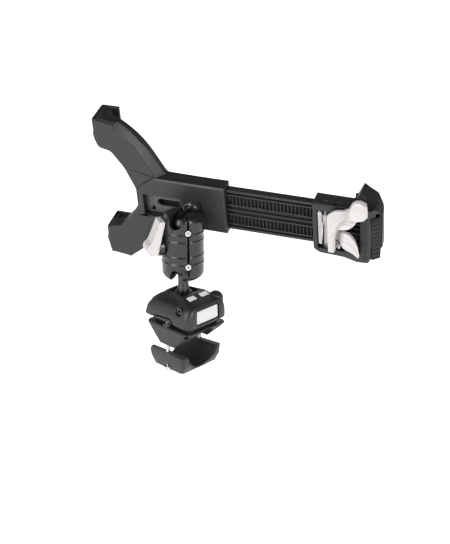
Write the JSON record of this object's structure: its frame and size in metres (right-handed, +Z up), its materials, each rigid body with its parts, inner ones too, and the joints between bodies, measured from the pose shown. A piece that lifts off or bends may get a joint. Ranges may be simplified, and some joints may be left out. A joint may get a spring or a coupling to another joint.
{
  "type": "rail tablet mount",
  "caption": "Rail clamp with a quick-release ball stud, a double-ball arm locked by a cam lever, and a ratcheting tablet holder on a sliding plate.",
  "frame": {"origin": "centre of the clamped rail, midway along the clamp", "axes": "+X along the rail towards the release button, +Z up from the rail to the ball arm, +Y towards the tablet"},
  "size_m": [0.2372, 0.131, 0.2059],
  "materials": {
    "black_body": "fine moulded satin",
    "pale_lever": "satin",
    "rubber_pad": "matte",
    "arm_paint": "satin powder coat",
    "stud_metal": "dark satin",
    "bright_steel": "turned",
    "spring_wire": "drawn wire",
    "grey_plate": "satin"
  },
  "bodies": {
    "clamp": {"base_housing": "black_body", "housing_screws": "bright_steel", "roof_marks": "pale_lever", "upper_jaw": "black_body", "upper_pad": "rubber_pad", "clamp_nuts": "stud_metal", "button_spring": "spring_wire"},
    "lower_jaw": {"lower_jaw": "black_body", "lower_pad": "rubber_pad", "clamp_screws": "bright_steel"},
    "release_button": {"release_button": "pale_lever", "latch_slider": "pale_lever"},
    "lower_stud": {"lower_stud": "stud_metal"},
    "arm": {"arm_shell_left": "arm_paint", "arm_shell_right": "arm_paint", "arm_dowels": "bright_steel", "tension_bolt": "bright_steel", "shell_spring": "spring_wire", "cam_washer": "pale_lever", "cam_pin": "bright_steel"},
    "cam_lever": {"cam_lever": "pale_lever"},
    "upper_stud": {"upper_stud": "stud_metal"},
    "stud_plate": {"stud_plate": "black_body", "collar_ring": "bright_steel", "slide_nut": "bright_steel"},
    "holder": {"holder_body": "black_body", "slot_plate": "grey_plate", "slot_plate_screws": "bright_steel", "upper_hook_pad": "rubber_pad", "lower_hook_pad": "rubber_pad", "rack_bar": "black_body", "bar_screws": "bright_steel"},
    "carriage": {"jaw_carriage": "black_body", "jaw_pad": "rubber_pad", "grip_pad": "rubber_pad", "lever_pins": "bright_steel", "pawl_springs": "spring_wire", "lever_spring": "spring_wire", "release_spring": "spring_wire"},
    "drive_lever": {"drive_lever": "pale_lever", "drive_pawl": "bright_steel", "drive_pawl_pin": "bright_steel"},
    "release_lever": {"release_lever": "pale_lever"},
    "holding_pawl": {"holding_pawl": "pale_lever"}
  },
  "joints": [
    {"name": "jaw_clamp", "type": "slide", "parent": "clamp", "child": "lower_jaw", "axis": [0, 0, 1], "range_m": [-0.002, 0.0035]},
    {"name": "button_press", "type": "slide", "parent": "clamp", "child": "release_button", "axis": [-1, 0, 0], "range_m": [0, 0.003], "stiffness_N_per_m": 600, "springref_m": -0.002, "deforming": ["button_spring"]},
    {"name": "stud_swivel", "type": "hinge", "parent": "clamp", "child": "lower_stud", "pos_m": [0, 0, 0.0657], "axis": [0, 0, 1], "continuous": true},
    {"name": "arm_tilt", "type": "hinge", "parent": "lower_stud", "child": "arm", "pos_m": [0, 0, 0.0657], "axis": [-0.9272, -0.3746, 0], "range_deg": [-70, 15]},
    {"name": "cam_swing", "type": "hinge", "parent": "arm", "child": "cam_lever", "pos_m": [-0.01313, -0.02186, 0.0827], "axis": [0.8572, -0.515, 0], "range_deg": [0, 100]},
    {"name": "stud_tilt", "type": "hinge", "parent": "arm", "child": "upper_stud", "pos_m": [0, 0, 0.0997], "axis": [0.9272, 0.3746, 0], "range_deg": [0, 110]},
    {"name": "holder_turn", "type": "hinge", "parent": "upper_stud", "child": "stud_plate", "pos_m": [-0.00774, 0.01917, 0.10662], "axis": [-0.3552, 0.8793, 0.3173], "continuous": true},
    {"name": "holder_shift", "type": "slide", "parent": "stud_plate", "child": "holder", "axis": [0.9211, 0.3871, -0.0414], "range_m": [0, 0.021]},
    {"name": "carriage_slide", "type": "slide", "parent": "holder", "child": "carriage", "axis": [0.9211, 0.3871, -0.0414], "range_m": [-0.06, 0.005]},
    {"name": "drive_squeeze", "type": "hinge", "parent": "carriage", "child": "drive_lever", "pos_m": [0.10737, 0.05965, 0.10441], "axis": [0.1592, -0.2776, 0.9474], "range_deg": [0, 8], "stiffness_Nm_per_rad": 0.06, "springref_deg": -17.19},
    {"name": "release_pull", "type": "hinge", "parent": "carriage", "child": "release_lever", "pos_m": [0.10737, 0.05965, 0.10441], "axis": [-0.1592, 0.2776, -0.9474], "range_deg": [0, 12], "stiffness_Nm_per_rad": 0.04, "springref_deg": -17.19},
    {"name": "pawl_lift", "type": "hinge", "parent": "carriage", "child": "holding_pawl", "pos_m": [0.09795, 0.05631, 0.10502], "axis": [0.1592, -0.2776, 0.9474], "range_deg": [0, 18], "stiffness_Nm_per_rad": 0.01, "springref_deg": -11.46}
  ],
  "couplings": [
    {"joint": "pawl_lift", "follows": "release_pull", "ratio": 1.5}
  ]
}
